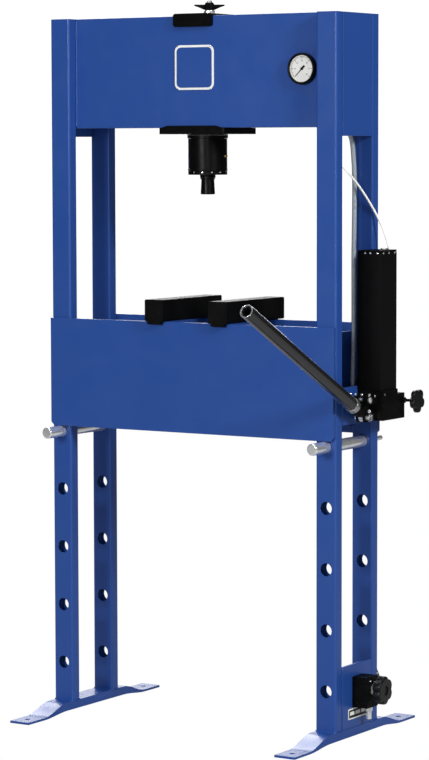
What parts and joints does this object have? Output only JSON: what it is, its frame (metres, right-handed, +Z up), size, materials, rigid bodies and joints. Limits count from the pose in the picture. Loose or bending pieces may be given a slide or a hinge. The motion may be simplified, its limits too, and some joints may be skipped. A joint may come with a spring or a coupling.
{
  "type": "hydraulic shop press",
  "caption": "Floor-standing workshop press: tube frame with a sliding hydraulic cylinder under the top beam, a pin-supported height-adjustable bed with loose blocks, and a side hand pump.",
  "frame": {"origin": "on the floor, under the middle of the space that the press takes up with its handle at rest: 60 mm to the right of the middle of the uprights and 142.9 mm in front of it", "axes": "+Z up; -Y towards the operator at the front; +X to the right seen from the front, the side the pump is on"},
  "size_m": [0.972, 0.8958, 1.846],
  "materials": {
    "frame_paint": "gloss enamel, mid blue",
    "black_paint": "semi-gloss black enamel",
    "cast_black": "cast iron, painted black",
    "moulded_black": "moulded, fine texture",
    "zinc_plate": "bright zinc plate",
    "bare_steel": "turned steel",
    "brass": "turned brass",
    "rubber": "smooth black rubber",
    "hose_cover": "grey braided cover over rubber",
    "nylon": "natural nylon tube",
    "enamel": "white enamel",
    "clear": "clear"
  },
  "bodies": {
    "frame": {"left_front_upright": "frame_paint", "right_front_upright": "frame_paint", "left_rear_upright": "frame_paint", "right_rear_upright": "frame_paint", "left_foot": "frame_paint", "right_foot": "frame_paint", "beam_front_plate": "frame_paint", "beam_rear_plate": "frame_paint", "beam_left_side_plate": "frame_paint", "beam_right_side_plate": "frame_paint", "lower_side_plate": "frame_paint", "pump_bracket": "frame_paint", "badge_plate": "enamel", "rating_plate": "enamel", "gauge_case": "black_paint", "gauge_dial": "enamel", "gauge_lens": "clear", "gauge_stem": "brass", "pump_block": "cast_black", "oil_tank": "black_paint", "tank_lid": "black_paint", "filler_plug": "bare_steel", "plunger_gland": "bare_steel", "fulcrum_pin": "zinc_plate", "outlet_elbow": "bare_steel", "pressure_hose": "hose_cover", "gauge_line": "nylon", "return_hose": "rubber", "floor_valve_body": "cast_black", "floor_valve_fitting": "zinc_plate"},
    "carriage": {"carriage_plate": "black_paint", "cylinder_barrel": "black_paint", "cylinder_collar": "black_paint", "cylinder_lock_nut": "bare_steel", "gland_nut": "black_paint", "bleed_screw": "brass", "cylinder_inlet": "bare_steel", "clamp_bridge": "black_paint", "clamp_stud": "bare_steel"},
    "ram": {"piston": "bare_steel", "piston_seal": "rubber", "piston_rod": "zinc_plate", "ram_nose": "black_paint"},
    "clamp_plate": {"clamp_washer": "zinc_plate"},
    "clamp_knob": {"clamp_knob": "cast_black"},
    "bed": {"bed_front_plate": "frame_paint", "bed_rear_plate": "frame_paint", "bed_left_spacer": "frame_paint", "bed_right_spacer": "frame_paint"},
    "left_block": {"left_anvil_block": "cast_black"},
    "right_block": {"right_anvil_block": "cast_black"},
    "left_pin": {"left_bed_pin": "zinc_plate"},
    "right_pin": {"right_bed_pin": "zinc_plate"},
    "lever": {"pump_lever": "cast_black", "pump_handle": "black_paint"},
    "plunger": {"pump_plunger": "zinc_plate", "plunger_pin": "zinc_plate"},
    "release_valve": {"release_knob": "moulded_black"},
    "floor_valve": {"floor_valve_knob": "moulded_black"},
    "needle": {"gauge_needle": "black_paint"}
  },
  "joints": [
    {"name": "carriage_slide", "type": "slide", "parent": "frame", "child": "carriage", "axis": [1, 0, 0], "range_m": [-0.25, 0.22], "deforming": ["pressure_hose"]},
    {"name": "ram_slide", "type": "slide", "parent": "carriage", "child": "ram", "axis": [0, 0, -1], "range_m": [0, 0.135]},
    {"name": "clamp_lift", "type": "slide", "parent": "carriage", "child": "clamp_plate", "axis": [0, 0, 1], "range_m": [0, 0.003]},
    {"name": "clamp_turn", "type": "hinge", "parent": "clamp_plate", "child": "clamp_knob", "pos_m": [-0.067, 0.14285, 1.826], "axis": [0, 0, 1], "range_deg": [0, 720]},
    {"name": "bed_lift", "type": "slide", "parent": "frame", "child": "bed", "axis": [0, 0, 1], "range_m": [0, 0.12]},
    {"name": "left_block_slide", "type": "slide", "parent": "bed", "child": "left_block", "axis": [1, 0, 0], "range_m": [-0.24, 0.06]},
    {"name": "right_block_slide", "type": "slide", "parent": "bed", "child": "right_block", "axis": [1, 0, 0], "range_m": [-0.06, 0.24]},
    {"name": "left_pin_slide", "type": "slide", "parent": "frame", "child": "left_pin", "axis": [0, -1, 0], "range_m": [0, 0.25]},
    {"name": "right_pin_slide", "type": "slide", "parent": "frame", "child": "right_pin", "axis": [0, -1, 0], "range_m": [0, 0.25]},
    {"name": "handle_swing", "type": "hinge", "parent": "frame", "child": "lever", "pos_m": [0.4018, 0.10285, 0.855], "axis": [1, 0, 0], "range_deg": [-21, 21]},
    {"name": "plunger_slide", "type": "slide", "parent": "frame", "child": "plunger", "axis": [0, 1, 0], "range_m": [-0.0162, 0.0162]},
    {"name": "release_turn", "type": "hinge", "parent": "frame", "child": "release_valve", "pos_m": [0.46, 0.24285, 0.846], "axis": [1, 0, 0], "range_deg": [0, 540]},
    {"name": "floor_valve_turn", "type": "hinge", "parent": "frame", "child": "floor_valve", "pos_m": [0.425, 0.14785, 0.127], "axis": [1, 0, 0], "range_deg": [0, 540]},
    {"name": "needle_turn", "type": "hinge", "parent": "frame", "child": "needle", "pos_m": [0.254, 0.05985, 1.668], "axis": [0, 1, 0], "range_deg": [0, 270]}
  ],
  "couplings": [
    {"joint": "clamp_turn", "follows": "clamp_lift", "rad_per_m": 4188.7},
    {"joint": "plunger_slide", "follows": "handle_swing", "m_per_rad": 0.044}
  ]
}
